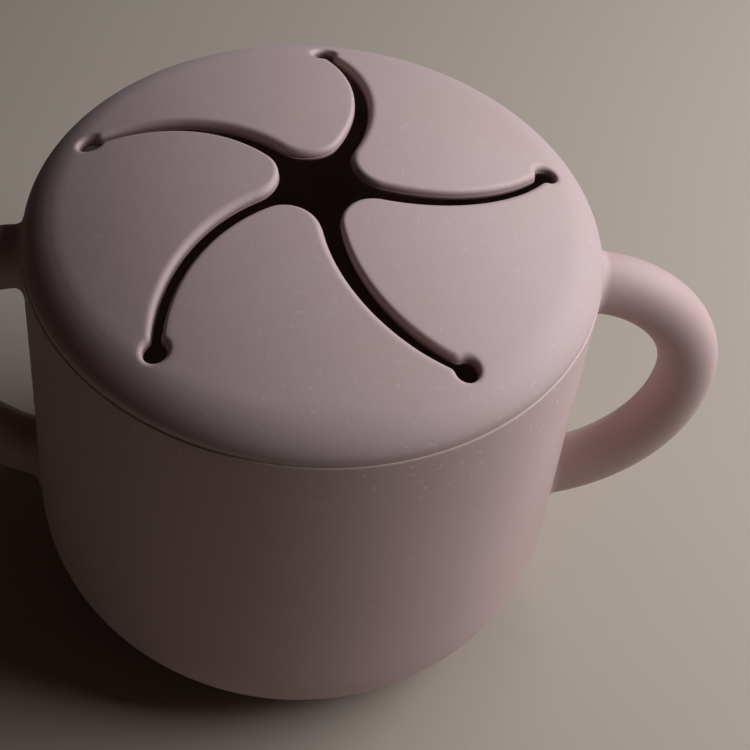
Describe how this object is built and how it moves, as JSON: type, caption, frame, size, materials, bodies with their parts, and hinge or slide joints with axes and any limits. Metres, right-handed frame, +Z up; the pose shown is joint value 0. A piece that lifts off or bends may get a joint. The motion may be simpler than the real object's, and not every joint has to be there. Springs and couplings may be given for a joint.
{
  "type": "toddler snack container",
  "caption": "Round moulded snack cup with loop handles at its sides and a lift-off domed lid whose curved slits form soft flaps that a small hand pushes through.",
  "frame": {"origin": "middle of the flat base, on the surface that the cup stands on", "axes": "+Z up through the middle of the lid, +X through the right handle, so the handles lie along X"},
  "size_m": [0.1386, 0.09, 0.0891],
  "materials": {
    "cup_silicone": "matte dusty pink silicone",
    "lid_silicone": "matte dusty pink silicone"
  },
  "bodies": {
    "cup": {"cup_body": "cup_silicone", "handle_left": "cup_silicone", "handle_right": "cup_silicone"},
    "lid": {"lid": "lid_silicone"},
    "flap_1": {"flap_1": "lid_silicone"},
    "flap_2": {"flap_2": "lid_silicone"},
    "flap_3": {"flap_3": "lid_silicone"},
    "flap_4": {"flap_4": "lid_silicone"},
    "flap_5": {"flap_5": "lid_silicone"}
  },
  "joints": [
    {"name": "lid_lift", "type": "slide", "parent": "cup", "child": "lid", "axis": [0, 0, 1], "range_m": [0, 0.03]},
    {"name": "flap_1_bend", "type": "hinge", "parent": "lid", "child": "flap_1", "pos_m": [-0.01468, 0.02136, 0.08428], "axis": [0.8241, 0.5664, 0], "range_deg": [-45, 60], "stiffness_Nm_per_rad": 0.02},
    {"name": "flap_2_bend", "type": "hinge", "parent": "lid", "child": "flap_2", "pos_m": [-0.02485, -0.00736, 0.08428], "axis": [-0.284, 0.9588, 0], "range_deg": [-45, 60], "stiffness_Nm_per_rad": 0.02},
    {"name": "flap_3_bend", "type": "hinge", "parent": "lid", "child": "flap_3", "pos_m": [-0.00068, -0.02591, 0.08428], "axis": [-0.9997, 0.0262, 0], "range_deg": [-45, 60], "stiffness_Nm_per_rad": 0.02},
    {"name": "flap_4_bend", "type": "hinge", "parent": "lid", "child": "flap_4", "pos_m": [0.02443, -0.00865, 0.08428], "axis": [-0.3338, -0.9426, 0], "range_deg": [-45, 60], "stiffness_Nm_per_rad": 0.02},
    {"name": "flap_5_bend", "type": "hinge", "parent": "lid", "child": "flap_5", "pos_m": [0.01578, 0.02056, 0.08428], "axis": [0.7934, -0.6088, 0], "range_deg": [-45, 60], "stiffness_Nm_per_rad": 0.02}
  ]
}
